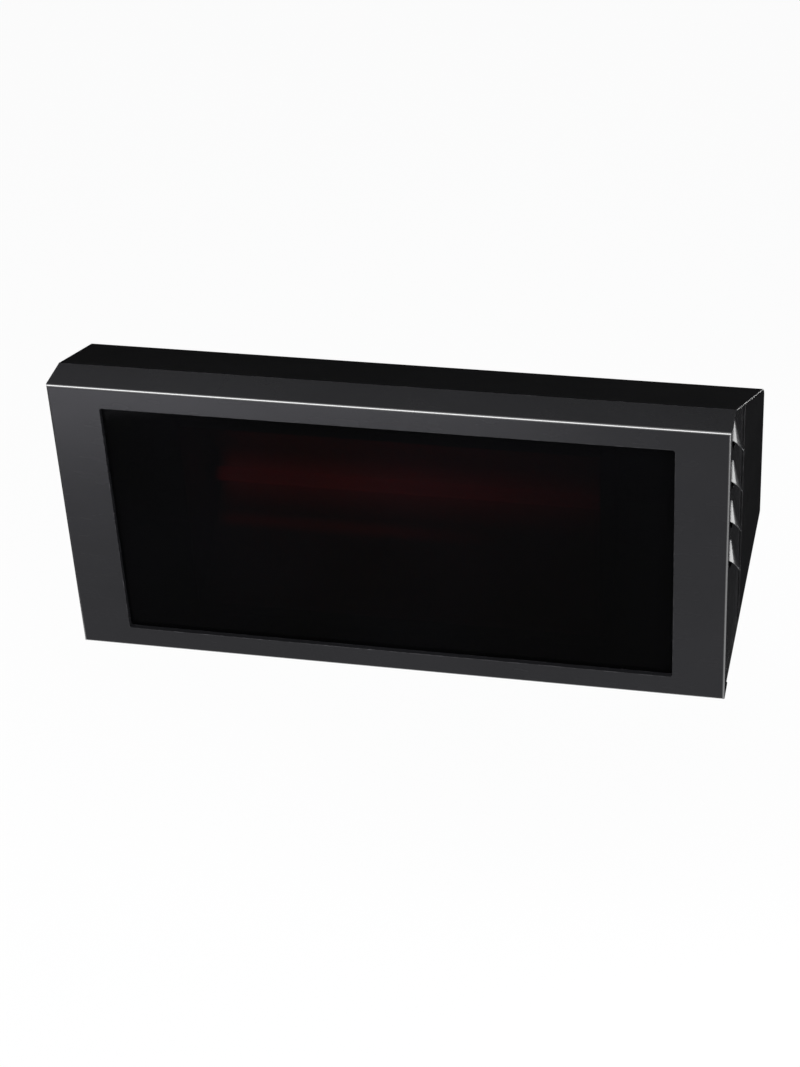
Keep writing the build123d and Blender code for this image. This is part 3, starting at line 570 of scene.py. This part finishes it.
def filament_mesh():
    """The coil from end to end, with straight tails at both ends, and its rings."""
    low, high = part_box("lamp_filament")
    run = high.x - low.x
    shell = bmesh.new()
    points = [Vector((low.x, lamp_y, lamp_z))]
    total = COIL_TURNS * COIL_STEPS
    for index in range(total + 1):
        x = low.x + COIL_TAIL + (run - 2 * COIL_TAIL) * index / total
        points.append(round_lamp(x, COIL_RADIUS, 2 * pi * index / COIL_STEPS))
    points.append(Vector((high.x, lamp_y, lamp_z)))
    tube_along(shell, points, COIL_WIRE, WIRE_SIDES)
    for index in range(RING_COUNT):
        x = low.x + run * (index + 0.5) / RING_COUNT
        hoop = [round_lamp(x, RING_RADIUS, 2 * pi * step / RING_STEPS) for step in range(RING_STEPS)]
        tube_along(shell, hoop, RING_WIRE, WIRE_SIDES, closed=True)
    return mesh_from(shell, "filament_coil", smooth=True)


add_piece("filament_coil", filament_mesh(), "tungsten", "heater", "lamp_filament")

# Screws that show from outside, with domed heads and six-sided sockets
SIDES = 36
SOCKET_SHARE = 0.42
SOCKET_DEPTH_SHARE = 0.55
SAME_POINT = 1e-6


def screw_mesh(shell, head, ahead, shank_r, head_r, head_height, length):
    """A domed screw: head is the centre of the head's underside, ahead points along the shank."""
    side, up = square_to(ahead, (0, 0, 1))

    def ring(radius, along, six_sided=False):
        made = []
        for step in range(SIDES):
            angle = 2 * pi * step / SIDES
            reach = radius
            if six_sided:
                local = (angle + pi / 6) % (pi / 3) - pi / 6
                reach = radius * cos(pi / 6) / cos(local)
            made.append(shell.verts.new(head + ahead * along + reach * (cos(angle) * side + sin(angle) * up)))
        return made

    socket = head_r * SOCKET_SHARE
    depth = head_height * SOCKET_DEPTH_SHARE
    rows = [ring(shank_r * 0.8, length), ring(shank_r, length - shank_r * 0.25), ring(shank_r, 0.0),
            ring(head_r, 0.0), ring(head_r, -head_height * 0.35), ring(head_r * 0.94, -head_height * 0.62),
            ring(head_r * 0.78, -head_height * 0.88), ring(head_r * 0.6, -head_height),
            ring(socket * 1.12, -head_height, True), ring(socket, -head_height * 0.93, True),
            ring(socket, depth - head_height, True)]
    for near, far in zip(rows, rows[1:]):
        for step in range(SIDES):
            after = (step + 1) % SIDES
            shell.faces.new((near[step], near[after], far[after], far[step]))
    shell.faces.new(tuple(reversed(rows[0])))
    shell.faces.new(rows[-1])


def island_boxes(node):
    """The box of each separate solid of a node."""
    work = bmesh.new()
    work.from_mesh(nodes[node].data)
    bmesh.ops.remove_doubles(work, verts=work.verts, dist=SAME_POINT)
    seen = set()
    boxes = []
    for start in work.verts:
        if start in seen:
            continue
        stack = [start]
        seen.add(start)
        found = []
        while stack:
            vert = stack.pop()
            found.append(vert.co.copy())
            for edge in vert.link_edges:
                other = edge.other_vert(vert)
                if other not in seen:
                    seen.add(other)
                    stack.append(other)
        corners = [Vector([pick(point[axis] for point in found) for axis in range(3)]) for pick in (min, max)]
        boxes.append(corners)
    work.free()
    return boxes


def screws_piece(name, node, ahead, shank_r, head_height):
    """The screws of a node, rebuilt with sockets in their heads."""
    shell = bmesh.new()
    for low, high in island_boxes(node):
        size = high - low
        along = abs(size.dot(ahead))
        head_r = max(size[axis] for axis in range(3) if abs(ahead[axis]) < 0.5) / 2
        top = (low + high) / 2 - ahead * (along / 2)
        screw_mesh(shell, top + ahead * head_height, ahead, shank_r, head_r, head_height, along - head_height)
    add_piece(name, mesh_from(shell, name, smooth=False), "zinc_steel", "heater", node)


screws_piece("case_screws_socket", "case_screws", Vector((0, 0, 1)), shank_r=0.002, head_height=0.0026)
screws_piece("lug_screws_socket", "lug_screws", Vector((0, -1, 0)), shank_r=0.0025, head_height=0.003)

# Studio, in metres: a floor well below the heater, which hangs on a wall that isn't shown
FLOOR_BELOW = 0.42
FLOOR_HALF = 14.0
FLOOR_WHITE = 0.94
SURROUND_COLOUR = (0.9, 0.92, 0.96, 1.0)
SURROUND_STRENGTH = 0.45
WHITE = (1.0, 1.0, 1.0)
floor_z = cad_low.z - FLOOR_BELOW


def flat_sheet(name, corners):
    """A flat sheet through its corners, and its look, still to be made."""
    mesh = bpy.data.meshes.new(name)
    mesh.from_pydata(corners, [], [(0, 1, 2, 3)])
    made = bpy.data.objects.new(name, mesh)
    scene.collection.objects.link(made)
    look = Look(name)
    mesh.materials.append(look.material)
    return made, look


def level_corners(x_low, x_high, y_low, y_high, z):
    """The corners of a level sheet."""
    return [(x_low, y_low, z), (x_high, y_low, z), (x_high, y_high, z), (x_low, y_high, z)]


def add_floor():
    """White to the camera and in reflections, pale grey with a soft shadow to the rest, open from below."""
    corners = level_corners(-FLOOR_HALF, FLOOR_HALF, -FLOOR_HALF, FLOOR_HALF, floor_z)
    floor, look = flat_sheet("floor", corners)
    base = look.blend(look.noise(3.0, 3.0), (0.80, 0.80, 0.80, 1.0), (0.84, 0.84, 0.84, 1.0))
    paper = look.node("BsdfDiffuse", Color=base)
    white = look.node("Emission", Color=WHITE + (1.0,), Strength=1.0)
    share = look.times(look.seen_as_background(), FLOOR_WHITE)
    above = look.node("MixShader", _0=share, _1=paper.outputs[0], _2=white.outputs[0])
    clear = look.node("BsdfTransparent")
    under = look.node("NewGeometry").outputs["Backfacing"]
    look.show(look.node("MixShader", _0=under, _1=above.outputs[0], _2=clear.outputs[0]))


def add_world():
    """An even pale surround, white to the camera and in reflections."""
    world = bpy.data.worlds.new("world")
    world.use_nodes = True
    scene.world = world
    tree = Nodes(world.node_tree, "ShaderNodeOutputWorld")
    plain = tree.node("Background", Color=SURROUND_COLOUR, Strength=SURROUND_STRENGTH)
    white = tree.node("Background", Color=WHITE + (1.0,), Strength=1.0)
    seen = tree.seen_as_background()
    tree.show(tree.node("MixShader", _0=seen, _1=plain.outputs[0], _2=white.outputs[0]))


def add_light(name, place, target, size, power, colour=WHITE):
    """A soft rectangular lamp that faces a point."""
    data = bpy.data.lights.new(name, "AREA")
    data.shape = "RECTANGLE"
    data.size, data.size_y = size
    data.energy = power
    data.color = colour
    lamp = bpy.data.objects.new(name, data)
    lamp.visible_camera = False
    lamp.location = Vector(place)
    lamp.rotation_mode = "QUATERNION"
    lamp.rotation_quaternion = (Vector(target) - Vector(place)).to_track_quat("-Z", "Y")
    scene.collection.objects.link(lamp)


def add_card(name, corners):
    """A dark studio card that shows only in reflections, so that black paint stays black."""
    card, look = flat_sheet(name, corners)
    base = look.blend(look.noise(6.0, 3.0), rgb(6, 6, 6), rgb(14, 14, 14))
    look.show(look.node("BsdfDiffuse", Color=base))
    for way in ("camera", "diffuse", "shadow", "transmission"):
        setattr(card, "visible_" + way, False)


# Cards: one stands behind the heater, and two lie just above the floor, behind it and to its left
CARD_Z = floor_z + 0.002
CARD_TOP = 1.1
CARD_HALF = 2.5
CARD_FRONT_Y = 0.1
CARD_BACK_Y = 1.3
LEFT_CARD_X = -0.85
LEFT_CARD_Y = -0.55

add_floor()
add_world()
add_card("card_back", [(-CARD_HALF, CARD_BACK_Y, CARD_Z), (CARD_HALF, CARD_BACK_Y, CARD_Z),
                       (CARD_HALF, CARD_BACK_Y, CARD_TOP), (-CARD_HALF, CARD_BACK_Y, CARD_TOP)])
add_card("card_low", level_corners(-CARD_HALF, CARD_HALF, CARD_FRONT_Y, CARD_BACK_Y, CARD_Z))
add_card("card_left", level_corners(-CARD_HALF, LEFT_CARD_X, LEFT_CARD_Y, CARD_FRONT_Y, CARD_Z))

# Lights: a place, a target and a size in metres, then the power in watts
HEART = (0.0, -0.12, -0.02)
add_light("key", (-0.27, -0.92, 1.11), (0.0, front_y, 0.09), (1.6, 0.7), 20.0)
add_light("side_key", (-1.5, -1.3, 0.6), HEART, (0.8, 1.2), 8.0)
add_light("fill", (1.9, -1.5, 0.5), HEART, (0.9, 1.2), 4.6)
add_light("strip_side", (0.98, -0.42, -0.08), (0.25, -0.15, 0.0), (0.55, 0.5), 9.5)
add_light("soft_front", (-0.27, -0.78, -0.22), (-0.12, front_y, 0.09), (0.62, 0.14), 1.6, (0.92, 0.91, 1.0))
add_light("rim", (0.55, 1.0, -0.12), (0.25, -0.1, 0.06), (0.06, 0.5), 1.4)
